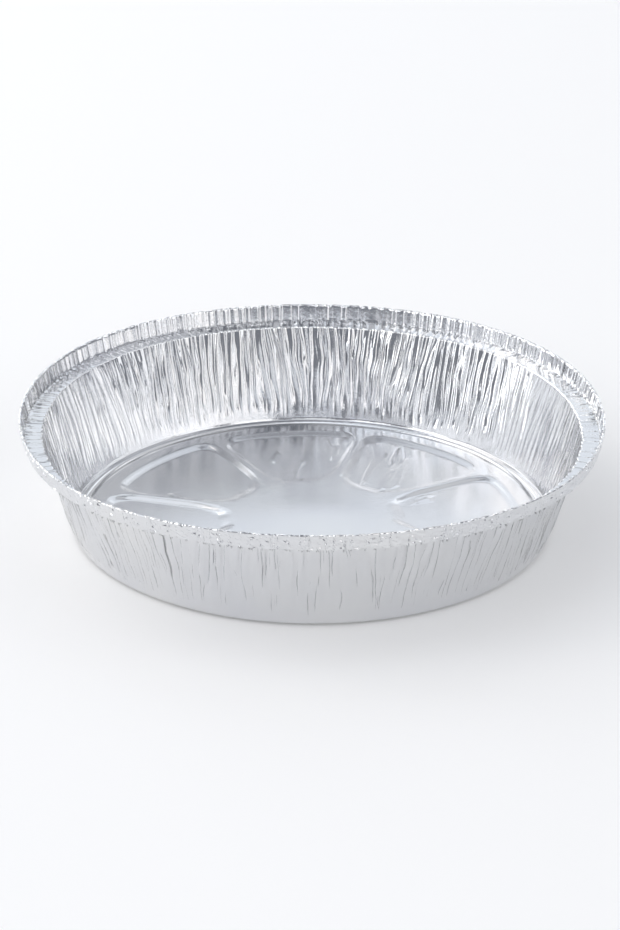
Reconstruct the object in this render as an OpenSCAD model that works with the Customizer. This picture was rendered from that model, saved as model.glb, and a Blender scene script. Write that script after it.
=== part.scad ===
// Round foil pan, pressed from one sheet of thin aluminium.
// It stands on the recessed petals of its base. The origin is the centre of the
// base on the surface that the pan stands on, and +Z points up out of the pan.
// The sheet is followed from the middle of the base outwards: hub, petals and
// spokes, ring with its bead, corner, smooth band, pleated wall, creased ledge,
// flange, and the hem that is folded down outside the flange.

/* [Foil] */
// Thickness of the sheet
foil_t = 0.1; // [0.05:0.01:0.2]

/* [Rim] */
// Outer diameter of the pan across its lip, as a mean round the pan
rim_d = 230; // [215:1:320]
// Distance that the lip lies inside its circle on the pan's four sides, and
// outside it between them
lip_square = 1; // [0:0.1:2]
// Height of the lip above the surface that the pan stands on
pan_h = 46.5; // [30:0.5:80]
// Height of the flange, from the ledge to the lip
flange_h = 7; // [4:0.5:12]
// Distance that the flange leans outwards over its height
flange_lean = 1.4; // [0:0.1:4]
// Width of the ledge between the wall and the flange
ledge_w = 6.5; // [3:0.5:10]
// Height of the ridges of the ledge's radial creases above their grooves
crease_depth = 0.4; // [0.1:0.1:0.8]
// Width of the fold at the lip, from the flange to the hem
fold_w = 0.8; // [0.5:0.1:1.5]
// Height of the hem, from the lip down to its free edge
hem_h = 6.6; // [3:0.1:8]
// Distance between the flange's foot line and the hem's free edge
hem_gap = 0.6; // [0.4:0.1:1.5]

/* [Wall] */
// Diameter of the base, where the line of the wall meets it
base_d = 189; // [175:1:195]
// Radius of the corner between the base and the wall
corner_r = 1.5; // [1:0.5:5]
// Height of the smooth band at the foot of the wall, above the ring of the base
band_h = 4; // [4:0.5:10]
// Height over which the pleats rise out of the smooth band
pleat_rise = 6; // [3:0.5:12]
// Number of pleats in the wall for each petal of the base
pleats_per_petal = 24; // [8:8:24]
// Depth of the deepest pleats at the top of the wall, from ridge to groove
pleat_depth = 1.4; // [0.2:0.1:2]
// Depth of the deepest pleats where they have risen out of the smooth band
pleat_depth_low = 0.8; // [0.1:0.1:1.5]

/* [Base] */
// Depth of the petals below the hub, the spokes and the ring
petal_depth = 1.2; // [0.5:0.1:2]
// Width of the pressed slope round each petal
slope_w = 3; // [2:0.1:4]
// Width of the level top of a spoke
spoke_w = 2.4; // [1:0.1:6]
// Radius of the hub, to where the petals begin
hub_r = 32; // [28:0.5:45]
// Width of the level ring between the petals and the wall's corner
ring_w = 10.5; // [9:0.5:16]
// Radius of the outer corners of a petal's floor
outer_corner_r = 7.5; // [1:0.5:8]
// Radius of the inner corners of a petal's floor
inner_corner_r = 2; // [0.5:0.5:3]
// Distance of the bead in the ring from the wall's corner
bead_inset = 6.5; // [4:0.5:7]
// Width of the bead
bead_w = 2.4; // [1:0.1:3]
// Height of the bead above the ring
bead_h = 0.4; // [0.1:0.1:1]
// Radius of the shallow dome in the middle of the hub
dome_r = 24; // [15:0.5:26]
// Height of the dome above the hub
dome_h = 0.4; // [0.1:0.1:2]

/* [Hidden] */

// Angle from +X to each spoke: the pattern is not quite even, and its widest
// petal is the last, which ends at the first spoke
spoke_angles = [30.5, 75, 119.5, 165.5, 209, 253, 296.5, 340.5];
petals = len(spoke_angles);

// Heights of the middle of the sheet
floor_z = foil_t / 2;
ring_z = floor_z + petal_depth;
ledge_z = pan_h - foil_t / 2 - flange_h;
lip_z = pan_h - foil_t / 2;

// Radii of the middle of the sheet, from the lip inwards
lip_r = rim_d / 2 - foil_t / 2;
flange_top_r = lip_r - fold_w;
flange_foot_r = flange_top_r - flange_lean;
wall_top_r = flange_foot_r - ledge_w;
base_r = base_d / 2;

// The wall's lean from upright, and the corner that joins it to the base
wall_lean = atan2(wall_top_r - base_r, ledge_z - ring_z);
corner_reach = corner_r * tan((90 - wall_lean) / 2);
foot_r = base_r - corner_reach;
petal_r = foot_r - ring_w;
bead_r = foot_r - bead_inset;

// Steps of the petal's outline: along a spoke, and round its outer and inner ends
SPOKE_STEPS = 5;
OUTER_STEPS = 8;
INNER_STEPS = 6;
OUTLINE = 2 * SPOKE_STEPS + OUTER_STEPS + INNER_STEPS;
// Each pleat has a ridge and a groove, and each step of the smooth rings meets
// this many of them
FOLD_STEPS = 2 * pleats_per_petal / OUTER_STEPS;
RING = petals * OUTER_STEPS;
PLEATS = petals * pleats_per_petal;

// Unevenness of the pleats. Their ridges are given at three levels of the wall:
// where they have risen, half way up and at the ledge.
TOP_LEVEL = 2;
// Farthest that a ridge stands from its even place, as a share of a pleat's width
WANDER = 0.3;
// Ridges lean together in groups: greatest lean in degrees round the pan over the
// wall's height, and its waves to the turn
LEANS = [[1.5, 7], [0.9, 17]];
// Least height of a ridge, as a share of the greatest
LEAST_RIDGE = 0.2;
// Share of the depth that lies in the groove, outside the line of the wall
GROOVE = 0.25;
// Share of a ledge crease's depth that is left in the hem's free edge
HEM_SHARE = 0.5;

function unit(v) = v / norm(v);
function on_circle(r, a) = [r * cos(a), r * sin(a)];

// Petal outline
// A petal lies about +X between the spokes at -half and +half, where half is
// half of its angle. Its corners are arcs about fixed centres, so an outline that
// is inset from the crest stays parallel to it. corner_share runs from 0 where
// the corner leaves the spoke's side to 1 where it meets the end arc.
function petal_span(k) =
    (spoke_angles[(k + 1) % petals] - spoke_angles[k % petals] + 360) % 360;
function petal_half(k) = petal_span(k) / 2;
function petal_angle(k) = spoke_angles[k] + petal_half(k);

spoke_offset = spoke_w / 2 + slope_w;
outer_centre_off = spoke_offset + outer_corner_r;
outer_centre_r = petal_r - slope_w - outer_corner_r;
inner_centre_off = spoke_offset + inner_corner_r;
inner_centre_r = hub_r + slope_w + inner_corner_r;

function beside_spoke(half, along, across) =
    [along * cos(half) + across * sin(half), along * sin(half) - across * cos(half)];
function centre_beside(half, r, off) = beside_spoke(half, sqrt(r ^ 2 - off ^ 2), off);
function outer_centre(half) = centre_beside(half, outer_centre_r, outer_centre_off);
function inner_centre(half) = centre_beside(half, inner_centre_r, inner_centre_off);
function angle_of(p) = atan2(p[1], p[0]);

function outer_corner(half, inset, corner_share) =
    let (centre = outer_centre(half), side = half + 90, end = angle_of(centre))
    centre + on_circle(outer_corner_r + slope_w - inset, side + (end - side) * corner_share);
function inner_corner(half, inset, corner_share) =
    let (centre = inner_centre(half), side = half + 90, end = angle_of(centre) + 180)
    centre + on_circle(inner_corner_r + slope_w - inset, side + (end - side) * corner_share);

// Side of the outline along the spoke at +half, from the hub outwards
function side_point(half, inset, step) =
    step <= 2 ? inner_corner(half, inset, (2 - step) / 4)
    : outer_corner(half, inset, (step - 3) / 4);
// Outer end, from the corner at +half to the corner at -half
function outer_point(half, inset, step) =
    step < 2 ? outer_corner(half, inset, (2 + step) / 4)
    : step > OUTER_STEPS - 2 ? mirrored(outer_point(half, inset, OUTER_STEPS - step))
    : on_circle(petal_r - inset,
        angle_of(outer_centre(half)) * (1 - 2 * (step - 2) / (OUTER_STEPS - 4)));
// Inner end, from the corner at +half to the corner at -half
function inner_point(half, inset, step) =
    step < 2 ? inner_corner(half, inset, (2 + step) / 4)
    : step > INNER_STEPS - 2 ? mirrored(inner_point(half, inset, INNER_STEPS - step))
    : on_circle(hub_r + inset,
        angle_of(inner_centre(half)) * (1 - 2 * (step - 2) / (INNER_STEPS - 4)));
function mirrored(p) = [p[0], -p[1]];

// The whole outline, counter-clockwise from the inner corner at -half
function petal_outline(half, inset) = concat(
    [for (i = [0:SPOKE_STEPS]) mirrored(side_point(half, inset, i))],
    [for (i = [1:OUTER_STEPS - 1]) mirrored(outer_point(half, inset, i))],
    [for (i = [SPOKE_STEPS:-1:0]) side_point(half, inset, i)],
    [for (i = [1:INNER_STEPS - 1]) inner_point(half, inset, i)]);

// A point of the sheet is its place and the direction of the sheet's upper side
function level_point(p, z) = [[p[0], p[1], z], [0, 0, 1]];
function turned(p, a) = [p[0] * cos(a) - p[1] * sin(a), p[0] * sin(a) + p[1] * cos(a)];
// Angle of point i on a circle that has this many steps to each petal
function beside_petals(i, steps) =
    let (k = floor(i / steps)) spoke_angles[k] + petal_span(k) * (i % steps) / steps;

hub_points = concat(
    [level_point([0, 0], ring_z + dome_h)],
    [for (i = [0:petals * INNER_STEPS - 1])
        level_point(on_circle(dome_r, beside_petals(i, INNER_STEPS)), ring_z)]);
// Middle line of each spoke, level with the steps of the outlines beside it
spoke_points = [
    for (k = [0:petals - 1]) for (i = [1:SPOKE_STEPS - 1])
        let (half = petal_half(k), p = side_point(half, 0, i))
        level_point(on_circle(p[0] * cos(half) + p[1] * sin(half), spoke_angles[k]), ring_z)];
crest_points = [for (k = [0:petals - 1]) for (p = petal_outline(petal_half(k), 0))
    level_point(turned(p, petal_angle(k)), ring_z)];
floor_points = [for (k = [0:petals - 1]) for (p = petal_outline(petal_half(k), slope_w))
    level_point(turned(p, petal_angle(k)), floor_z)];
middle_points = [for (k = [0:petals - 1])
    level_point(on_circle((petal_r + hub_r) / 2, petal_angle(k)), floor_z)];

// Profile of the sheet outside the petals, as [radius, height]
corner_centre = [foot_r, ring_z + corner_r];
function corner_point(share) = corner_centre
    + on_circle(corner_r, -90 + (90 - wall_lean) * share);
function wall_point(z) = [base_r + (z - ring_z) * tan(wall_lean), z];
bead_profile = [
    [bead_r - bead_w / 2, ring_z],
    [bead_r, ring_z + bead_h],
    [bead_r + bead_w / 2, ring_z]];
corner_profile = [
    [foot_r, ring_z],
    corner_point(0.5),
    corner_point(1),
    wall_point(ring_z + band_h)];
risen_z = ring_z + band_h + pleat_rise;
pleated_profile = [
    wall_point(risen_z),
    wall_point((risen_z + ledge_z) / 2),
    [wall_top_r, ledge_z],
    [flange_foot_r, ledge_z]];
rim_profile = [
    [flange_top_r, lip_z],
    [lip_r, lip_z],
    [flange_foot_r + hem_gap, pan_h - hem_h]];
profile = concat(bead_profile, corner_profile, pleated_profile, rim_profile);

function across_step(i) = let (d = unit(profile[i + 1] - profile[i])) [-d[1], d[0]];
// Direction of the upper side at a profile point, longer at a sharp bend so that
// the sheet keeps its thickness on both sides of it
function profile_normal(i) =
    i == 0 ? [0, 1]
    : i == len(profile) - 1 ? across_step(i - 1)
    : let (a = across_step(i - 1), n = unit(a + across_step(i))) n / (n * a);

// Chance from 0 to 1 for one trait of pleat i, the same each time
function chance(i, trait) =
    let (s = abs(sin(12.9898 * i + 78.233 * trait)) * 43758.5453) s - floor(s);

// Lean of ridge i over the wall's height, and its place at a level, both counted
// in pleats round the wall
function lean(i) =
    let (a = i * 360 / PLEATS)
    (LEANS[0][0] * sin(LEANS[0][1] * a) + LEANS[1][0] * sin(LEANS[1][1] * a)) * PLEATS / 360;
function ridge_place(level, i) =
    let (j = (i + PLEATS) % PLEATS)
    i + WANDER * (2 * chance(j, level) - 1) + lean(j) * (level / TOP_LEVEL - 1 / 2);
function gap_after(level, i) = ridge_place(level, i + 1) - ridge_place(level, i);
// Height of a ridge as a share of the greatest: ridges that crowd are lower
function ridge_share(level, i) =
    min(1, gap_after(level, i - 1), gap_after(level, i))
    * (LEAST_RIDGE + (1 - LEAST_RIDGE) * chance(i, TOP_LEVEL + 1 + level));

// Fold i is ridge i / 2, or the groove after it
function fold_place(level, i) =
    let (k = floor(i / 2))
    i % 2 == 0 ? ridge_place(level, k)
    : (ridge_place(level, k) + ridge_place(level, k + 1)) / 2;
function fold_share(level, i) =
    let (k = floor(i / 2))
    i % 2 == 0 ? ridge_share(level, k) * (1 - GROOVE) : -min(1, gap_after(level, k)) * GROOVE;
function place_angle(place) = spoke_angles[0] + place * 360 / PLEATS;

// Shift of a pleated row's point off the profile, as [outwards, up]
function depth_at(level) =
    pleat_depth_low + (pleat_depth - pleat_depth_low) * level / TOP_LEVEL;
function fold_shift(row, share) =
    row < TOP_LEVEL ? share * depth_at(row) * [-cos(wall_lean), sin(wall_lean)]
    : row == TOP_LEVEL ? share * [-pleat_depth, crease_depth]
    : share * [0, crease_depth];
function hem_shift(i) = (i % 2 == 0 ? 1 : -1) * HEM_SHARE * crease_depth / 2 * [1, 1];

function row_point(p, normal, a) =
    [[p[0] * cos(a), p[0] * sin(a), p[1]], [normal[0] * cos(a), normal[0] * sin(a), normal[1]]];
bead_points = [for (row = [0:len(bead_profile) - 1]) for (i = [0:RING - 1])
    row_point(bead_profile[row], profile_normal(row), beside_petals(i, OUTER_STEPS))];
corner_points = [for (row = [0:len(corner_profile) - 1]) for (i = [0:RING - 1])
    row_point(corner_profile[row], profile_normal(len(bead_profile) + row),
        spoke_angles[0] + i * 360 / RING)];
first_pleated = len(bead_profile) + len(corner_profile);
pleated_points = [for (row = [0:len(pleated_profile) - 1]) for (i = [0:2 * PLEATS - 1])
    let (level = min(row, TOP_LEVEL))
    row_point(pleated_profile[row] + fold_shift(row, fold_share(level, i)),
        profile_normal(first_pleated + row), place_angle(fold_place(level, i)))];
rim_points = [for (row = [0:len(rim_profile) - 1]) for (i = [0:PLEATS - 1])
    row_point(rim_profile[row] + (row == len(rim_profile) - 1 ? hem_shift(i) : [0, 0]),
        profile_normal(first_pleated + len(pleated_profile) + row),
        place_angle(ridge_place(TOP_LEVEL, i)))];

sheet = concat(hub_points, spoke_points, crest_points, floor_points, middle_points,
    bead_points, corner_points, pleated_points, rim_points);

// The pan's slight departure from round, which grows from the base to the lip
function smooth_share(t) = let (u = min(1, max(0, t))) u * u * (3 - 2 * u);
function settled(p) =
    let (r = norm([p[0], p[1]]), lift = smooth_share((p[2] - ring_z) / (lip_z - ring_z)),
        scale = r == 0 ? 1 : 1 - lip_square * lift * cos(4 * angle_of(p)) / r)
    [p[0] * scale, p[1] * scale, p[2]];

// Places of the groups in the sheet's list of points
HUB = 1;
SPOKE = len(hub_points);
CREST = SPOKE + len(spoke_points);
FLOOR = CREST + len(crest_points);
MIDDLE = FLOOR + len(floor_points);
BEAD = MIDDLE + len(middle_points);
PLEATED = BEAD + len(bead_points) + len(corner_points);
RIM = PLEATED + len(pleated_points);
LAST_ROW = RIM + PLEATS * (len(rim_profile) - 1);

// The border round petal k, step for step beside its outline: out along its
// first spoke, round the ring, back along the next spoke and round the hub
function hub_at(i) = HUB + i % (petals * INNER_STEPS);
function ring_at(i) = BEAD + i % RING;
function spoke_at(k, i) =
    i == 0 ? hub_at(k * INNER_STEPS)
    : i == SPOKE_STEPS ? ring_at(k * OUTER_STEPS)
    : SPOKE + (k % petals) * (SPOKE_STEPS - 1) + i - 1;
function border(k) = concat(
    [for (i = [0:SPOKE_STEPS]) spoke_at(k, i)],
    [for (i = [1:OUTER_STEPS - 1]) ring_at(k * OUTER_STEPS + i)],
    [for (i = [SPOKE_STEPS:-1:0]) spoke_at(k + 1, i)],
    [for (i = [INNER_STEPS - 1:-1:1]) hub_at(k * INNER_STEPS + i)]);
function run(start, n) = [for (i = [0:n - 1]) start + i];

// Triangles of the upper side, clockwise as seen from above
function quad(a, b, c, d) = [[a, c, b], [a, d, c]];
function strip(inner, outer) = [
    for (i = [0:len(inner) - 1]) let (j = (i + 1) % len(inner))
        each quad(inner[i], outer[i], outer[j], inner[j])];
function fan(middle, loop) = [
    for (i = [0:len(loop) - 1]) [middle, loop[(i + 1) % len(loop)], loop[i]]];
// Strip from a smooth ring to a pleated one, which has FOLD_STEPS points to each
function widening(inner, outer) = [
    for (i = [0:len(inner) - 1]) let (j = (i + 1) % len(inner)) each concat(
        [for (s = [0:FOLD_STEPS - 1]) let (o = i * FOLD_STEPS + s)
            [inner[s < FOLD_STEPS / 2 ? i : j], outer[(o + 1) % len(outer)], outer[o]]],
        [[inner[i], inner[j], outer[i * FOLD_STEPS + FOLD_STEPS / 2]]])];
// Strip from a pleated ring to one that has a point at each ridge only
function narrowing(inner, outer) = [
    for (i = [0:len(outer) - 1])
        let (j = (i + 1) % len(outer), groove = inner[2 * i + 1])
        each [[inner[2 * i], groove, outer[i]], [groove, outer[j], outer[i]],
            [groove, inner[2 * j], outer[j]]]];

function petal_faces(k) = concat(
    strip(run(CREST + k * OUTLINE, OUTLINE), border(k)),
    strip(run(FLOOR + k * OUTLINE, OUTLINE), run(CREST + k * OUTLINE, OUTLINE)),
    fan(MIDDLE + k, run(FLOOR + k * OUTLINE, OUTLINE)));
base_faces = concat(
    fan(0, run(HUB, petals * INNER_STEPS)),
    [for (k = [0:petals - 1]) each petal_faces(k)]);
function strips(start, rows, n) = [for (row = [0:rows - 2])
    each strip(run(start + row * n, n), run(start + (row + 1) * n, n))];
wall_faces = concat(
    strips(BEAD, first_pleated, RING),
    widening(run(PLEATED - RING, RING), run(PLEATED, 2 * PLEATS)),
    strips(PLEATED, len(pleated_profile), 2 * PLEATS),
    narrowing(run(RIM - 2 * PLEATS, 2 * PLEATS), run(RIM, PLEATS)),
    strips(RIM, len(rim_profile), PLEATS));
upper_faces = concat(base_faces, wall_faces);

// The lower side repeats the upper side's triangles, turned over, and the hem's
// free edge closes the sheet between the two
function lower(i) = len(sheet) + i;
lower_faces = [for (f = upper_faces) [lower(f[0]), lower(f[2]), lower(f[1])]];
edge_faces = strip(run(LAST_ROW, PLEATS), run(lower(LAST_ROW), PLEATS));

module foil_pan() {
    color([0.84, 0.85, 0.87])
        polyhedron(
            points = concat(
                [for (p = sheet) settled(p[0] + p[1] * foil_t / 2)],
                [for (p = sheet) settled(p[0] - p[1] * foil_t / 2)]),
            faces = concat(upper_faces, lower_faces, edge_faces));
}

foil_pan();
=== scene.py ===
import math

import bpy
import numpy as np
from mathutils import Matrix, Vector


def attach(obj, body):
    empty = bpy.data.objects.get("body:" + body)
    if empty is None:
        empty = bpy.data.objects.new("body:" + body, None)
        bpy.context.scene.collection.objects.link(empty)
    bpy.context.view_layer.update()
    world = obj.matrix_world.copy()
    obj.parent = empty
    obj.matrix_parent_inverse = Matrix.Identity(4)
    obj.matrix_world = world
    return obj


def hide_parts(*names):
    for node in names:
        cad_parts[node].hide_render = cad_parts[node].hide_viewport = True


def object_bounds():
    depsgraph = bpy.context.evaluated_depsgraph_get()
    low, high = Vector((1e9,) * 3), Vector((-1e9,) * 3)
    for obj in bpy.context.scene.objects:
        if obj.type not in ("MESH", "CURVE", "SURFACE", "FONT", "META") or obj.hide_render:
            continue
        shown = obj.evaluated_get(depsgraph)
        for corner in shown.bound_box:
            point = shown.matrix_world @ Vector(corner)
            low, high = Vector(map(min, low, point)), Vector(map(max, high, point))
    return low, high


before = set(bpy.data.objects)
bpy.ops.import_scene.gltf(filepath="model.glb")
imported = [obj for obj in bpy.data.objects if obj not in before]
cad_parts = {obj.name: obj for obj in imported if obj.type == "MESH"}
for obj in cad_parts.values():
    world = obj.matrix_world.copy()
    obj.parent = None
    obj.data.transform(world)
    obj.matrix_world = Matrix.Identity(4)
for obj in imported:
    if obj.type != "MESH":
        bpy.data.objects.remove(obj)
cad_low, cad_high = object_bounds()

# Round foil pan. The solid of the frame is replaced by one finer sheet of foil,
# followed from the middle of the base out to the free edge of the hem.
# The sheet's sizes are in millimetres and MM turns them into metres. Angles are in degrees.
# Stage, lights and camera are in metres.
MM = 0.001
TINY = 1e-9
QUARTER_TURN = 90

# Sizes of the sheet's middle surface, as in the solid
FOIL_T = 0.1
LIP_SQUARE = 1.0    # the lip departs this far from round, inwards and outwards
LIP_LOBES = 4
LIP_R = cad_high.x / MM + LIP_SQUARE - FOIL_T / 2
LIP_Z = cad_high.z / MM - FOIL_T / 2
FOLD_W = 0.8
FLANGE_H = 7.0
FLANGE_LEAN = 1.4
LEDGE_W = 6.5
HEM_H = 6.6
HEM_GAP = 0.6
BASE_R = 94.5
CORNER_R = 0.5
BAND_H = 4.0
SMOOTH_H = 1.2
PETAL_DEPTH = 1.2
RING_Z = FOIL_T / 2 + PETAL_DEPTH
LEDGE_Z = LIP_Z - FLANGE_H
FLANGE_TOP_R = LIP_R - FOLD_W
FLANGE_FOOT_R = FLANGE_TOP_R - FLANGE_LEAN
WALL_TOP_R = FLANGE_FOOT_R - LEDGE_W
WALL_LEAN = math.atan2(WALL_TOP_R - BASE_R, LEDGE_Z - RING_Z)
FOOT_R = BASE_R - CORNER_R * math.tan((math.pi / 2 - WALL_LEAN) / 2)
SEAM_R = 90.0

# Pattern pressed into the base
SPOKE_ANGLES = [30.5, 75.0, 119.5, 165.5, 209.0, 253.0, 296.5, 340.5]
SPOKE_W = 2.4
SIDE_SLOPE_W = 2.4
OUTER_SLOPE_W = 3.2
INNER_SLOPE_W = 5.0
HUB_R = 32.0
PETAL_R = 82.9
OUTER_CORNER_R = 8.0
INNER_CORNER_R = 8.0
BEAD_R = 86.8
BEAD_MIDDLE = 117.0
BEAD_SPAN = 14.0
BEAD_W = 2.4
BEAD_H = 0.12
DOME_R = 24.0
DOME_H = 0.4

# Slight waves of the base: height, lengths in x and y, phases, and the width in which they end
WAVE_H = 0.04
LONG_WAVES = (17.0, 13.0)
LONG_PHASES = (1.3, 0.4)
SHORT_WAVES = (7.5, 9.1)
SHORT_SHARE = 0.6
WAVE_END_R = SEAM_R - 1
WAVE_END_W = 6.0

# Small creases pressed into the petals: points along each, in x and y
CREASES = [
    [(12.0, 38.0), (19.0, 58.0), (21.0, 69.0)],
    [(20.5, 32.0), (22.5, 42.5), (24.5, 51.5), (24.0, 64.0), (23.5, 69.0)],
    [(28.5, 26.5), (30.0, 35.5), (32.0, 44.0)],
    [(32.5, 52.5), (35.0, 64.0), (36.0, 67.5)],
    [(34.0, 29.0), (37.0, 44.0), (38.5, 51.5), (39.5, 56.0)],
    [(37.0, 69.0), (36.5, 54.0)],
    [(29.5, 72.0), (30.5, 61.0)],
    [(8.0, 57.0), (9.5, 67.5)],
    [(-16.0, 53.5), (-14.0, 61.5)],
    [(-6.5, 36.0), (-5.5, 48.0), (-3.5, 53.5)],
    [(6.0, 75.5), (7.5, 67.0)],
    [(42.5, 13.5), (48.0, 21.0)],
    [(45.0, 20.0), (46.5, 15.0)],
    [(-57.0, 17.0), (-55.5, 20.5), (-53.5, 17.0)],
]
CREASE_H = 0.8
CREASE_HALF_W = 1.1

# Grid of the base: columns, radii of rows, and how far beside an edge its rows and columns lie
HUB_COLS = 84
BASE_COLS = 672
HUB_RADII = (5, 10, 15, 19)
HUB_BORDER_RADII = (22, 24.5, 27, 29.5)
PETAL_ROWS_START = 37.4
PETAL_ROWS_STEP = 1.7
PETAL_ROWS_MARGIN = 1.0
RING_ROW_R = 84.3
EDGE_W = 0.15
PAST_SLOPE_W = 0.9
GREATEST_SINE = 0.9
# Between these radii the columns gather beside the spokes; each change takes WARP_FADE
WARP_START_R = 24.0
WARP_END_R = 84.0
WARP_FADE = 6.0
FOOT_INSET = 0.2
CORNER_SHARES = (0, 0.33, 0.67, 1.0)

# Pleats, as in the solid: their ridges are given at three levels of the wall
PLEATS = 192
PLEAT_RISE = 6.0
PLEAT_DEPTH = 1.4
PLEAT_DEPTH_LOW = 0.8
TOP_LEVEL = 2
WANDER = 0.3
LEANS = ((1.5, 7), (0.9, 17))
LEAST_RIDGE = 0.2
GROOVE = 0.25
# Numbers of the solid's formula for chance
CHANCE_STEP = 12.9898
CHANCE_TRAIT = 78.233
CHANCE_SCALE = 43758.5453

# The folds fade out above the foot, most slowly at the back,
# where the photograph shows a plain grey zone. Heights are shares of the wall's.
FADE_H = 0.13
FADE_BACK_H = 0.3
FADE_MIDDLE = 92.0
FADE_SPAN = 35.0
START_H = 0.06
# Zones of calmer or bolder folds in the photograph: middle, half width, change of the folds' height
FOLD_ZONES = ((20.0, 35.0, -0.4), (80.0, 40.0, 0.3), (152.0, 45.0, -0.4), (270.0, 80.0, 0.2))

# Columns of the pleats. Each pleat has a ridge, a second lower fold and the ground between them.
FOLD_SUBS = 7
FOLD_COLS = PLEATS * FOLD_SUBS
# Random curves up the wall: stops, least value, greatest value and seed.
# The first four are places along a pleat, as shares of its width.
RIDGE_SWAY = (7, -1, 1, 32)
AFTER_PLACE = (4, 0.12, 0.26, 33)
BEFORE_PLACE = (4, 0.12, 0.26, 34)
SECOND_PLACE = (4, 0.22, 0.78, 37)
# The rest are heights in millimetres, but the crest's is a factor.
CREST = (6, 0.55, 1.45, 41)
GROUND = (5, -0.5, -0.1, 43)
AFTER = (5, -0.25, 0.1, 44)
BEFORE = (5, -0.25, 0.1, 45)
TILT = (5, -0.2, 0.2, 47)
SECOND = (5, -0.25, 0.4, 48)
SWAY_W = 0.16
SECOND_STOPS = (-0.2, -0.07, 0.07, 0.2)
SECOND_TILT = 0.3
SECOND_CUT_AT_BACK = 0.6
START_SEED = 42

# Wall: rows, finer ripples and grain, which settle in above the foot
PLEAT_SEED = 51
WALL_ROWS = 22
LAST_WALL_SHARE = 0.985
RIPPLE_H = 0.16
RIPPLE_WAVES = 60
RIPPLE_SEED = 52
WALL_GRAIN = 0.02
SETTLE_H = 0.3
NOISE_TERMS = 24
NOISE_DRIFT = 3.5
NOISE_SCALE = 9

# Fine folds of the rim: height of each column of a pleat, range of their factor, and spread
FINE_SHAPE = (1.0, -0.2, 0.5, -0.6, 0.4, -0.6, 0.3)
FINE_RANGE = (0.3, 1.0)
FINE_SPREAD = 0.25

# Ledge: places of its rows, share of the folds' height on it, and pits where the flange starts
LEDGE_STOPS = (0.06, 0.35, 0.7, 0.94, 1.0)
LEDGE_FOLDS = 0.12
LEDGE_FOLDS_AT_SIDES = 0.14
LEDGE_FINE = 0.03
LEDGE_GRAIN = 0.006
INNER_EDGE_LIMITS = (-0.4, 1.2)
INNER_EDGE_END = 0.35
FOOT_FILLET = 0.3
PIT_CHANCE = 0.45
PIT_DEPTHS = (0.5, 1.1)
PIT_COLUMNS = (0, 0, 1, 1, 0, 1, 0)

# Flange: how far the fine folds and the wall's folds show in it
FLANGE_ROWS = 8
FLANGE_FINE = 0.26
FLANGE_FINE_RISE = 0.08
FLANGE_FOLDS = 0.15
FLANGE_GRAIN = 0.01
FLANGE_LIMITS = (-0.3, 0.5)

# Lip: turns of its rows round the fold, and notches
LIP_TURNS = (45, 90, 135, 180)
NOTCH_CHANCE = 0.3
NOTCH_RANGE = (0.3, 1)
NOTCH_DEPTH = 0.6
LIP_FINE = 0.1
LIP_GRAIN = 0.03

# Hem: crumple across and along it, folds that show through, and the unevenness of its free edge
HEM_ROWS = 10
HEM_CRUMPLE = 0.12
HEM_SHIFT = 0.1
HEM_FINE = 0.08
HEM_FOLDS = 0.06
HEM_EDGE = 0.3
HEM_LIMITS = (-0.28, 0.4)


def smoothstep(t):
    t = np.clip(t, 0, 1)
    return t * t * (3 - 2 * t)


def even_angles(count):
    return np.arange(count) * 2 * math.pi / count


def zone(turn, middle, half_width):
    """1 in the middle of a zone round the pan, falling to 0 at its ends."""
    return 1 - smoothstep(np.abs(turn - middle) / half_width)


def row_points(radius, angle, z):
    """Points of one row; each value is a number or has one entry for each column."""
    radius, angle, z = np.broadcast_arrays(radius, angle, z)
    return np.stack([radius * np.cos(angle), radius * np.sin(angle), z], 1)


def sectors():
    """Start and span of each sector between two spokes, in degrees."""
    ends = SPOKE_ANGLES[1:] + SPOKE_ANGLES[:1]
    return [(start, (end - start) % 360) for start, end in zip(SPOKE_ANGLES, ends)]


def base_column_angles(radius):
    """Angles of the base's columns; beside a spoke they keep their distance from its middle."""
    per_sector = BASE_COLS // len(SPOKE_ANGLES)
    crest, foot = SPOKE_W / 2, SPOKE_W / 2 + SIDE_SLOPE_W
    beside = np.array([
        0, crest - EDGE_W, crest + EDGE_W, (crest + foot) / 2,
        foot - EDGE_W, foot + EDGE_W, foot + PAST_SLOPE_W])
    outside = smoothstep((radius - WARP_END_R) / WARP_FADE)
    share = smoothstep((radius - WARP_START_R) / WARP_FADE) * (1 - outside)
    angles = []
    for start, span in sectors():
        a, b = math.radians(start), math.radians(start + span)
        half = (b - a) / 2
        near = np.arcsin(np.minimum(beside / radius, GREATEST_SINE))
        rest = np.linspace(near[-1], half, per_sector // 2 - len(beside) + 2)[1:]
        gathered = np.concatenate([near, rest])
        even = np.linspace(0, half, per_sector // 2 + 1)
        side = even + (gathered - even) * share
        angles += [a + side[:-1], b - side[:0:-1]]
    warped = np.concatenate(angles)
    uniform = warped[0] + even_angles(BASE_COLS)
    return warped + (uniform - warped) * outside


def rounded_corner(a, b, corner):
    """Distance from two borders that meet in a round corner."""
    both = (a < corner) & (b < corner)
    arc = corner - np.hypot(corner - a, corner - b)
    return np.where(both, arc, np.minimum(a, b))


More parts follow.
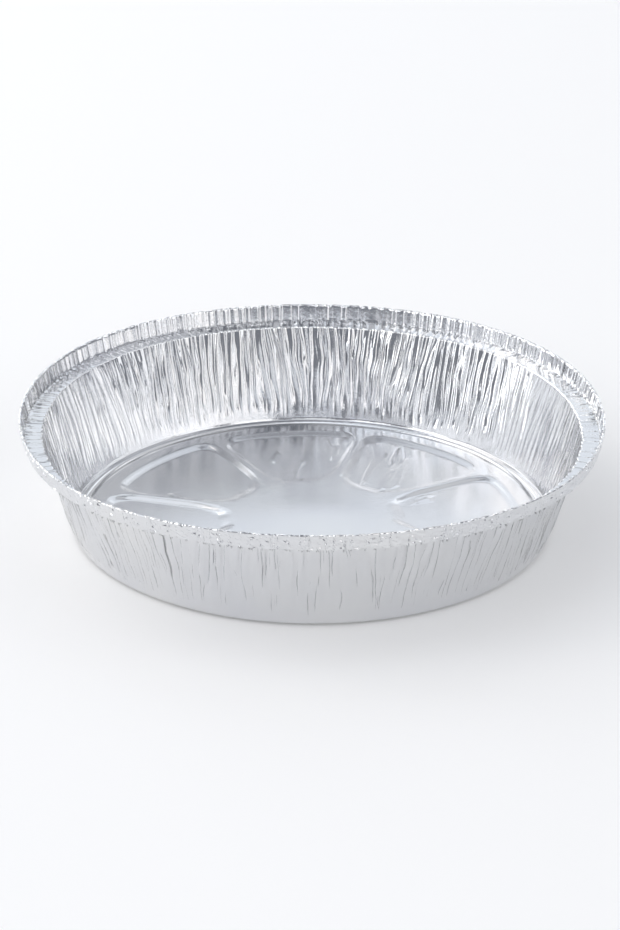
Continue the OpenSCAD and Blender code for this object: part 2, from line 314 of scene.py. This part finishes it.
def petal_depth_share(radius, angle):
    """How far down a petal's slope a point lies: 0 on hub, spokes and ring, 1 on a petal's floor."""
    turn = np.degrees(angle) % 360
    side = np.zeros_like(radius)
    for start, span in sectors():
        past = (turn - start) % 360
        first = radius * np.sin(np.radians(np.minimum(past, QUARTER_TURN)))
        second = radius * np.sin(np.radians(np.clip(span - past, 0, QUARTER_TURN)))
        side = np.where(past <= span, np.minimum(first, second) - SPOKE_W / 2, side)
    by_side = side / SIDE_SLOPE_W
    by_outer = (PETAL_R - radius) / OUTER_SLOPE_W
    by_inner = (radius - HUB_R) / INNER_SLOPE_W
    outer_round = rounded_corner(by_side, by_outer, OUTER_CORNER_R / SIDE_SLOPE_W)
    inner_round = rounded_corner(by_side, by_inner, INNER_CORNER_R / SIDE_SLOPE_W)
    return np.clip(np.minimum(outer_round, inner_round), 0, 1)


def crease_height(x, y):
    """Height of the nearest pressed crease at a point of the base."""
    height = np.zeros_like(x)
    for points in CREASES:
        for (x0, y0), (x1, y1) in zip(points, points[1:]):
            dx, dy = x1 - x0, y1 - y0
            t = np.clip(((x - x0) * dx + (y - y0) * dy) / (dx * dx + dy * dy), 0, 1)
            away = np.hypot(x - x0 - t * dx, y - y0 - t * dy)
            height = np.maximum(height, CREASE_H * np.clip(1 - away / CREASE_HALF_W, 0, 1))
    return height


def base_waves(x, y):
    """Slight waves of the base, long ones and shorter ones across them."""
    long_x = np.sin(x / LONG_WAVES[0] + LONG_PHASES[0])
    long_y = np.sin(y / LONG_WAVES[1] + LONG_PHASES[1])
    short = np.sin(x / SHORT_WAVES[0] + y / SHORT_WAVES[1])
    return long_x * long_y + SHORT_SHARE * short


def base_height(radius, angle):
    x, y = radius * np.cos(angle), radius * np.sin(angle)
    z = RING_Z - PETAL_DEPTH * petal_depth_share(radius, angle)
    z += DOME_H * (1 - smoothstep(radius / DOME_R))
    bead = np.clip(1 - np.abs(radius - BEAD_R) / (BEAD_W / 2), 0, 1)
    z += BEAD_H * zone(np.degrees(angle) % 360, BEAD_MIDDLE, BEAD_SPAN) * bead
    z += crease_height(x, y)
    z += WAVE_H * base_waves(x, y) * smoothstep((WAVE_END_R - radius) / WAVE_END_W)
    return z


def base_row(radius, angle):
    r = np.full(len(angle), float(radius))
    return row_points(r, angle, base_height(r, angle))


def base_rows():
    """Rows from the middle of the base out to the ring, with one on each side of every edge."""
    middle = np.array([[0, 0, RING_Z + DOME_H]])
    hub_angle = math.radians(SPOKE_ANGLES[0]) + even_angles(HUB_COLS)
    hub = [base_row(radius, hub_angle) for radius in HUB_RADII]
    inner_end, outer_end = HUB_R + INNER_SLOPE_W, PETAL_R - OUTER_SLOPE_W
    radii = np.concatenate([
        HUB_BORDER_RADII,
        [HUB_R - EDGE_W, HUB_R + EDGE_W, (HUB_R + inner_end) / 2],
        [inner_end - EDGE_W, inner_end + EDGE_W],
        np.arange(PETAL_ROWS_START, outer_end - PETAL_ROWS_MARGIN, PETAL_ROWS_STEP),
        [outer_end - EDGE_W, outer_end + EDGE_W, (outer_end + PETAL_R) / 2],
        [PETAL_R - EDGE_W, PETAL_R + EDGE_W, RING_ROW_R],
        [BEAD_R - BEAD_W / 2, BEAD_R, BEAD_R + BEAD_W / 2, SEAM_R]])
    return [middle] + hub + [base_row(radius, base_column_angles(radius)) for radius in radii]


def corner_rows():
    """Rows from just inside the wall's foot up to the wall; the first keeps the ring flat."""
    a = base_column_angles(SEAM_R)
    rows = [row_points(FOOT_R - FOOT_INSET, a, RING_Z)]
    for share in CORNER_SHARES:
        turn = (math.pi / 2 - WALL_LEAN) * share
        z = RING_Z + CORNER_R * (1 - math.cos(turn))
        rows.append(row_points(FOOT_R + CORNER_R * math.sin(turn), a, z))
    return rows


def wall_radius(z):
    return BASE_R + (z - RING_Z) * math.tan(WALL_LEAN)


def drifting_noise(angles, height, waves, seed):
    """Smooth noise round the pan whose pattern changes with the height share."""
    r = np.random.default_rng(seed)
    total = np.zeros_like(angles)
    for k in r.integers(max(1, waves // 2), waves + waves // 2 + 1, NOISE_TERMS):
        total += np.cos(k * angles + r.uniform(0, 2 * math.pi) + r.normal(0, NOISE_DRIFT) * height)
    return total / NOISE_SCALE


def along_noise(heights, stops, low, high, seed):
    """For each pleat, a smooth random curve over the height shares from low to high."""
    r = np.random.default_rng(seed)
    knots = r.uniform(low, high, (PLEATS, stops))
    at = np.clip(np.asarray(heights) * (stops - 1), 0, stops - 1 - TINY)
    i = at.astype(int)
    t = smoothstep(at - i)
    return knots[:, i] * (1 - t) + knots[:, i + 1] * t


def chance(i, trait):
    """Chance from 0 to 1 for one trait of pleat i, as in the solid."""
    s = np.abs(np.sin(np.radians(CHANCE_STEP * i + CHANCE_TRAIT * trait))) * CHANCE_SCALE
    return s - np.floor(s)


def ridge_places(level):
    """Place of each ridge at a level, counted in pleats round the wall."""
    i = np.arange(PLEATS)
    turn = i * 2 * math.pi / PLEATS
    lean = sum(size * np.sin(waves * turn) for size, waves in LEANS) * PLEATS / 360
    return i + WANDER * (2 * chance(i, level) - 1) + lean * (level / TOP_LEVEL - 0.5)


def gaps_after(places):
    """Distance from each ridge to the next; places may hold one column for each height."""
    following = np.roll(places, -1, axis=0)
    following[-1] += PLEATS
    return following - places


def least_gap(places):
    gap = gaps_after(places)
    return np.minimum(1, np.minimum(gap, np.roll(gap, 1, axis=0)))


def ridge_heights(level):
    share = LEAST_RIDGE + (1 - LEAST_RIDGE) * chance(np.arange(PLEATS), TOP_LEVEL + 1 + level)
    depth = PLEAT_DEPTH_LOW + (PLEAT_DEPTH - PLEAT_DEPTH_LOW) * level / TOP_LEVEL
    return least_gap(ridge_places(level)) * share * depth * (1 - GROOVE)


def between_levels(values, heights):
    """Values that are known at the levels, for each pleat at each height share."""
    risen = (BAND_H + PLEAT_RISE - SMOOTH_H) / (LEDGE_Z - RING_Z - SMOOTH_H)
    at = TOP_LEVEL * np.clip((np.asarray(heights) - risen) / (1 - risen), 0, 1)
    low = np.minimum(at.astype(int), TOP_LEVEL - 1)
    table = np.array([values(level) for level in range(TOP_LEVEL + 1)])
    t = (at - low)[:, None]
    return (table[low] * (1 - t) + table[low + 1] * t).T


def fold_columns(parts, heights):
    """Parts of all pleats at each height share, put in order round the wall."""
    return np.stack(parts, 1).reshape(FOLD_COLS, len(heights)).T


def fold_angles(heights):
    """Angle of each column at each height share."""
    ridge = between_levels(ridge_places, heights)
    ridge = ridge + SWAY_W * least_gap(ridge) * along_noise(heights, *RIDGE_SWAY)
    gap = gaps_after(ridge)
    after = along_noise(heights, *AFTER_PLACE)
    before = along_noise(heights, *BEFORE_PLACE)
    second = along_noise(heights, *SECOND_PLACE)
    ground = 1 - after - before
    stops = [0 * gap, after]
    stops += [after + ground * (second + away) for away in SECOND_STOPS]
    stops += [1 - before]
    places = fold_columns([ridge + gap * stop for stop in stops], heights)
    return places * 2 * math.pi / PLEATS + math.radians(SPOKE_ANGLES[0])


def fold_pattern(heights):
    """Height of the folds towards the pan's inside, at each height share and column."""
    h = np.asarray(heights)
    r = np.random.default_rng(START_SEED)
    start = r.uniform(0.0, START_H, PLEATS)[:, None]
    turn = (np.degrees(even_angles(PLEATS)) + SPOKE_ANGLES[0]) % 360
    at_back = zone(turn, FADE_MIDDLE, FADE_SPAN)
    fade = FADE_H + (FADE_BACK_H - FADE_H) * at_back
    changes = [change * zone(turn, middle, half_width) for middle, half_width, change in FOLD_ZONES]
    strength = 1 + sum(changes)
    rise = smoothstep((h - start) / fade[:, None]) * strength[:, None]
    crest = between_levels(ridge_heights, heights) * along_noise(heights, *CREST) * rise
    ground = along_noise(heights, *GROUND) * rise
    tilt = along_noise(heights, *TILT) * rise
    second = along_noise(heights, *SECOND) * rise * (1 - SECOND_CUT_AT_BACK * at_back)[:, None]
    after = along_noise(heights, *AFTER) * rise
    before = along_noise(heights, *BEFORE) * rise
    top = ground + second
    parts = [crest, after, ground + tilt, top, top - SECOND_TILT * tilt, ground - tilt, before]
    return fold_columns(parts, heights)


def share_on_ledge(angle):
    """Share of the folds' height that goes on over the ledge; it is greatest at the sides."""
    return LEDGE_FOLDS + LEDGE_FOLDS_AT_SIDES * np.cos(angle) ** 2


def wall_rows(r, heights, angles, pattern):
    """Rows up the wall; the last is the ledge's inner edge."""
    rows = []
    for i, h in enumerate(heights):
        z = RING_Z + SMOOTH_H + (LEDGE_Z - RING_Z - SMOOTH_H) * h
        ripple = RIPPLE_H * drifting_noise(angles[i], h, RIPPLE_WAVES, RIPPLE_SEED)
        finer = (ripple + r.normal(0, WALL_GRAIN, FOLD_COLS)) * smoothstep(h / SETTLE_H)
        inward = pattern[i] + finer
        up = inward * (math.sin(WALL_LEAN) if i < WALL_ROWS - 1 else share_on_ledge(angles[i]))
        rows.append(row_points(wall_radius(z) - inward * math.cos(WALL_LEAN), angles[i], z + up))
    return rows


def fine_folds(r):
    """Height of the rim's fine folds at each column."""
    factor = r.uniform(*FINE_RANGE, (PLEATS, 1))
    fine = np.array(FINE_SHAPE) * factor + r.normal(0, FINE_SPREAD, (PLEATS, FOLD_SUBS))
    return fine.reshape(FOLD_COLS)


def ledge_rows(r, angle, top, fine):
    """Rows out over the ledge, with pits in the last two, where the flange starts."""
    rows = []
    for t in LEDGE_STOPS:
        grain = r.normal(0, LEDGE_GRAIN, FOLD_COLS)
        rise = share_on_ledge(angle) * top + LEDGE_FINE * fine * t + grain
        inner = np.clip(top, *INNER_EDGE_LIMITS) * (1 - smoothstep(t / INNER_EDGE_END))
        radius = WALL_TOP_R + LEDGE_W * t - inner * math.cos(WALL_LEAN)
        fillet = FOOT_FILLET if t == 1 else 0
        rows.append(row_points(radius, angle, LEDGE_Z + fillet + rise))
    deep = r.uniform(0, 1, (PLEATS, FOLD_SUBS)) < PIT_CHANCE
    pits = np.where(deep, r.uniform(*PIT_DEPTHS, (PLEATS, FOLD_SUBS)), 0) * np.array(PIT_COLUMNS)
    for row in rows[-2:]:
        row[:, 2] -= pits.reshape(FOLD_COLS)
    return rows


def flange_rows(r, angle, top, fine):
    """Rows up the flange to the start of the lip."""
    rows = []
    for k in range(1, FLANGE_ROWS + 1):
        t = k / FLANGE_ROWS
        folds = (FLANGE_FINE + FLANGE_FINE_RISE * t) * fine + FLANGE_FOLDS * (1 - t) * top
        inward = np.clip(folds + r.normal(0, FLANGE_GRAIN, FOLD_COLS), *FLANGE_LIMITS)
        radius = FLANGE_FOOT_R + FLANGE_LEAN * t - inward
        rows.append(row_points(radius, angle, LEDGE_Z + (FLANGE_H - FOLD_W / 2) * t))
    return rows


def lip_rows(r, angle, fine):
    """Rows over the round fold of the lip, with small notches."""
    notched = r.uniform(0, 1, (PLEATS, FOLD_SUBS)) < NOTCH_CHANCE
    ragged = (notched * r.uniform(*NOTCH_RANGE, (PLEATS, FOLD_SUBS))).reshape(FOLD_COLS)
    rows = []
    for turn in LIP_TURNS:
        t = math.radians(turn)
        radius = LIP_R - FOLD_W / 2 - FOLD_W / 2 * math.cos(t)
        z = LIP_Z - FOLD_W / 2 + FOLD_W / 2 * math.sin(t)
        sink = NOTCH_DEPTH * ragged * math.sin(t) + np.abs(r.normal(0, LIP_GRAIN, FOLD_COLS))
        rows.append(row_points(radius - LIP_FINE * fine, angle, z - sink))
    return rows


def hem_rows(r, angle, top, fine):
    """Rows down the crumpled hem to its free edge."""
    rows = []
    for k in range(1, HEM_ROWS + 1):
        t = k / HEM_ROWS
        outward = r.normal(0, HEM_CRUMPLE, FOLD_COLS) - HEM_FINE * fine - HEM_FOLDS * top * t
        shift = r.normal(0, HEM_SHIFT, FOLD_COLS) if k < HEM_ROWS else HEM_EDGE * fine
        radius = LIP_R + (FLANGE_FOOT_R + HEM_GAP - LIP_R) * t + np.clip(outward, *HEM_LIMITS)
        z = LIP_Z - FOLD_W / 2 - (HEM_H - FOLD_W / 2) * t + shift
        rows.append(row_points(radius, angle, z))
    return rows


def pleated_rows():
    """Rows of the wall and ledge, then rows of the rim; r's draws follow the sheet outwards."""
    r = np.random.default_rng(PLEAT_SEED)
    heights = np.append(np.linspace(0, LAST_WALL_SHARE, WALL_ROWS - 1), 1)
    angles = fold_angles(heights)
    pattern = fold_pattern(heights)
    angle, top = angles[-1], pattern[-1]
    wall = wall_rows(r, heights, angles, pattern)
    fine = fine_folds(r)
    wall += ledge_rows(r, angle, top, fine)
    rim = flange_rows(r, angle, top, fine)
    rim += lip_rows(r, angle, fine)
    rim += hem_rows(r, angle, top, fine)
    return wall, rim


def sheet_faces(rows):
    """Faces between the rows; a row may widen the one before by a whole ratio."""
    starts = np.cumsum([0] + [len(r) for r in rows])
    faces = []
    for k in range(len(rows) - 1):
        n, m = len(rows[k]), len(rows[k + 1])
        lo, hi = int(starts[k]), int(starts[k + 1])
        if n == 1:
            faces += [(lo, hi + i, hi + (i + 1) % m) for i in range(m)]
            continue
        ratio = m // n
        for i in range(n):
            j = (i + 1) % n
            if ratio == 1:
                faces.append((lo + i, hi + i, hi + j, lo + j))
                continue
            split = ratio // 2
            for s in range(ratio):
                o = i * ratio + s
                faces.append((lo + (i if s < split else j), hi + o, hi + (o + 1) % m))
            faces.append((lo + i, hi + i * ratio + split, lo + j))
    return faces


def vertex_normals(points, faces):
    quads = np.array([f if len(f) == 4 else (*f, f[2]) for f in faces])
    p = points[quads]
    normal = np.cross(p[:, 2] - p[:, 0], p[:, 3] - p[:, 1])
    tri = quads[:, 2] == quads[:, 3]
    normal[tri] = np.cross(p[tri, 1] - p[tri, 0], p[tri, 2] - p[tri, 0])
    total = np.zeros_like(points)
    for c in range(4):
        np.add.at(total, quads[:, c], normal)
    return total / np.maximum(np.linalg.norm(total, axis=1)[:, None], TINY)


def foil_piece(name, points, normals, rows, first, last, crumpled):
    """Closed piece of the sheet from row first to row last; from row crumpled on it keeps flat facets."""
    starts = np.cumsum([0] + [len(r) for r in rows])
    lo, hi = int(starts[first]), int(starts[last + 1])
    faces = sheet_faces(rows[first:last + 1])
    count = hi - lo
    shift = normals[lo:hi] * FOIL_T / 2
    both = np.concatenate([points[lo:hi] + shift, points[lo:hi] - shift]) * MM
    under = [tuple(count + i for i in reversed(f)) for f in faces]
    inner_size, outer_size = len(rows[first]), len(rows[last])
    edge = []
    for start, size, outer in ((0, inner_size, False), (count - outer_size, outer_size, True)):
        if size == 1:
            continue
        for i in range(size):
            p, q = start + i, start + (i + 1) % size
            strip = (p, count + p, count + q, q)
            edge.append(strip if outer else strip[::-1])
    mesh = bpy.data.meshes.new(name)
    mesh.from_pydata(both.tolist(), [], faces + under + edge)
    smooth = np.zeros(len(mesh.polygons), bool)
    smooth_faces = len(sheet_faces(rows[first:min(last, crumpled) + 1]))
    smooth[:smooth_faces] = True
    smooth[len(faces):len(faces) + smooth_faces] = True
    mesh.polygons.foreach_set("use_smooth", smooth)
    mesh.update()
    piece = bpy.data.objects.new(name, mesh)
    bpy.context.scene.collection.objects.link(piece)
    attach(piece, "root")
    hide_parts("foil_pan")
    print(name, "triangles", sum(len(p.vertices) - 2 for p in mesh.polygons), mesh.validate())
    return piece


def settled(points):
    """The pan's slight departure from round, which grows from the base to the lip."""
    r = np.hypot(points[:, 0], points[:, 1])
    a = np.arctan2(points[:, 1], points[:, 0])
    lift = smoothstep((points[:, 2] - RING_Z) / (LIP_Z - RING_Z))
    shift = -LIP_SQUARE * np.cos(LIP_LOBES * a) * lift
    scale = (r + shift) / np.maximum(r, TINY)
    out = points.copy()
    out[:, 0] *= scale
    out[:, 1] *= scale
    return out


# Foil: darkest and lightest tint, and roughness from the sharpest to the dullest place
TINT_DARK = (0.74, 0.75, 0.775, 1)
TINT_LIGHT = (0.79, 0.795, 0.80, 1)
TINT_SPAN = (0.3, 0.7)
PLEATED_ROUGHNESS = (0.09, 0.17)
PRESSED_ROUGHNESS = (0.17, 0.26)
GRAIN_DEPTH = 0.0001


def foil_material(name, sharpest, dullest):
    """Bright foil whose tint and roughness drift a little, with a fine grain."""
    m = bpy.data.materials.new(name)
    m.use_nodes = True
    nodes, links = m.node_tree.nodes, m.node_tree.links
    shader = nodes["Principled BSDF"]
    shader.inputs["Metallic"].default_value = 1.0
    coords = nodes.new("ShaderNodeTexCoord")
    tint = nodes.new("ShaderNodeTexNoise")
    tint.inputs["Scale"].default_value = 22.0
    tint.inputs["Detail"].default_value = 3.0
    links.new(coords.outputs["Object"], tint.inputs["Vector"])
    colour = nodes.new("ShaderNodeValToRGB")
    colour.color_ramp.elements[0].position = TINT_SPAN[0]
    colour.color_ramp.elements[0].color = TINT_DARK
    colour.color_ramp.elements[1].position = TINT_SPAN[1]
    colour.color_ramp.elements[1].color = TINT_LIGHT
    links.new(tint.outputs["Fac"], colour.inputs["Fac"])
    links.new(colour.outputs["Color"], shader.inputs["Base Color"])
    rough = nodes.new("ShaderNodeMapRange")
    rough.inputs["To Min"].default_value = sharpest
    rough.inputs["To Max"].default_value = dullest
    links.new(tint.outputs["Fac"], rough.inputs["Value"])
    links.new(rough.outputs["Result"], shader.inputs["Roughness"])
    grain = nodes.new("ShaderNodeTexNoise")
    grain.inputs["Scale"].default_value = 900.0
    grain.inputs["Detail"].default_value = 2.0
    links.new(coords.outputs["Object"], grain.inputs["Vector"])
    bump = nodes.new("ShaderNodeBump")
    bump.inputs["Strength"].default_value = 0.25
    bump.inputs["Distance"].default_value = GRAIN_DEPTH
    links.new(grain.outputs["Fac"], bump.inputs["Height"])
    links.new(bump.outputs["Normal"], shader.inputs["Normal"])
    return m


def build_pan():
    """One sheet in three meshes that share their borders, each below the limit of triangles."""
    wall, rim = pleated_rows()
    base = base_rows()
    wall = corner_rows() + wall
    rows = base + wall + rim
    points = settled(np.concatenate(rows))
    normals = vertex_normals(points, sheet_faces(rows))
    seams = (0, len(base) - 1, len(base) + len(wall) - 1, len(rows) - 1)
    crumpled = seams[2] + FLANGE_ROWS
    pleated = foil_material("foil_pleated", *PLEATED_ROUGHNESS)
    pressed = foil_material("foil_pressed", *PRESSED_ROUGHNESS)
    for k, name in enumerate(("foil_base", "foil_wall", "foil_rim")):
        piece = foil_piece(name, points, normals, rows, seams[k], seams[k + 1], crumpled)
        piece.data.materials.append(pressed if k == 0 else pleated)


# Stage: a pale floor, just below the lowest of the base's slight waves
STAGE_HALF = 4.0
STAGE_DROP = 0.0001


def build_floor():
    half, z = STAGE_HALF, -STAGE_DROP
    corners = [(-half, -half, z), (half, -half, z), (half, half, z), (-half, half, z)]
    mesh = bpy.data.meshes.new("floor")
    mesh.from_pydata(corners, [], [(0, 1, 2, 3)])
    floor = bpy.data.objects.new("floor", mesh)
    bpy.context.scene.collection.objects.link(floor)
    m = bpy.data.materials.new("floor")
    m.use_nodes = True
    shader = m.node_tree.nodes["Principled BSDF"]
    shader.inputs["Base Color"].default_value = (0.8, 0.8, 0.8, 1)
    shader.inputs["Specular IOR Level"].default_value = 0.0
    shader.inputs["Roughness"].default_value = 0.9
    shader.inputs["Emission Color"].default_value = (1, 1, 1, 1)
    shader.inputs["Emission Strength"].default_value = 0.13
    mesh.materials.append(m)


LIGHT_DISTANCE = 2.4
# Softboxes in rows: elevation and width, then azimuth, radiance and warmth of each.
# Their brightness was fitted to the bright and dark zones of the photograph,
# then rounded to coarse steps. It is greatest on the left.
LIGHT_ROWS = [
    (10, 0.85, [
        (60, 1.5, 0), (120, 2.5, 0), (150, 4, 0), (180, 2, 0), (210, 2, 0), (300, 1, 0.03), (330, 1, 0),
    ]),
    (30, 0.85, [
        (0, 1.5, 0), (30, 1, 0), (60, 0.5, 0), (120, 1, 0), (150, 2, 0), (180, 2, 0.05),
        (210, 2, 0.05), (240, 2, 0), (270, 1, 0), (300, 2, 0), (330, 1.5, 0),
    ]),
    (34, 2, [(90, 0.75, -0.05)]),
    (51, 1, [
        (0, 0.5, 0), (36, 0.5, 0), (144, 1.5, 0.05), (180, 1.5, 0), (216, 1, -0.05), (252, 0.5, 0),
        (324, 0.5, 0),
    ]),
    (75, 1.1, [(45, 0.5, 0), (135, 0.75, -0.05), (225, 0.25, 0)]),
]


def softbox(azimuth, elevation, width, radiance, warmth):
    """Square softbox facing the pan; its radiance is what a perfect mirror would show of it."""
    light = bpy.data.lights.new("softbox", "AREA")
    light.shape = "SQUARE"
    light.size = width
    light.energy = radiance * math.pi * width * width
    light.color = (1 + warmth, 1, 1 - warmth)
    a, e = math.radians(azimuth), math.radians(elevation)
    o = bpy.data.objects.new("softbox", light)
    towards = Vector((math.cos(a) * math.cos(e), math.sin(a) * math.cos(e), math.sin(e)))
    place = towards * LIGHT_DISTANCE
    o.location = place
    o.rotation_mode = "QUATERNION"
    o.rotation_quaternion = (-place).to_track_quat("-Z", "Y")
    bpy.context.scene.collection.objects.link(o)


def build_light():
    world = bpy.data.worlds.new("studio")
    bpy.context.scene.world = world
    world.use_nodes = True
    back = world.node_tree.nodes["Background"]
    back.inputs["Color"].default_value = (0.21, 0.22, 0.25, 1)
    back.inputs["Strength"].default_value = 1.0
    for elevation, width, boxes in LIGHT_ROWS:
        for azimuth, radiance, warmth in boxes:
            softbox(azimuth, elevation, width, radiance, warmth)


# Camera of the photograph, fitted to the lip, ledge, foot and petals
FOCAL_PX = 3000.0
FRAME_LONG_PX = 930.0
SENSOR = 36.0
CAM_DISTANCE = 1.180
CAM_ELEVATION = 24.22
CAM_ROLL = 0.344
AIM = (-0.00076, 0.0, 0.02269)


def build_camera():
    data = bpy.data.cameras.new("camera")
    data.sensor_width = SENSOR
    data.lens = SENSOR * FOCAL_PX / FRAME_LONG_PX
    cam = bpy.data.objects.new("camera", data)
    bpy.context.scene.collection.objects.link(cam)
    e = math.radians(CAM_ELEVATION)
    y = AIM[1] - CAM_DISTANCE * math.cos(e)
    z = AIM[2] + CAM_DISTANCE * math.sin(e)
    cam.location = (AIM[0], y, z)
    cam.rotation_mode = "XYZ"
    tilt = Matrix.Rotation(math.radians(QUARTER_TURN) - e, 4, "X")
    roll = Matrix.Rotation(math.radians(CAM_ROLL), 4, "Z")
    cam.rotation_euler = (tilt @ roll).to_euler()
    bpy.context.scene.camera = cam


build_pan()
build_floor()
build_light()
build_camera()
bpy.context.scene.view_settings.view_transform = "Standard"
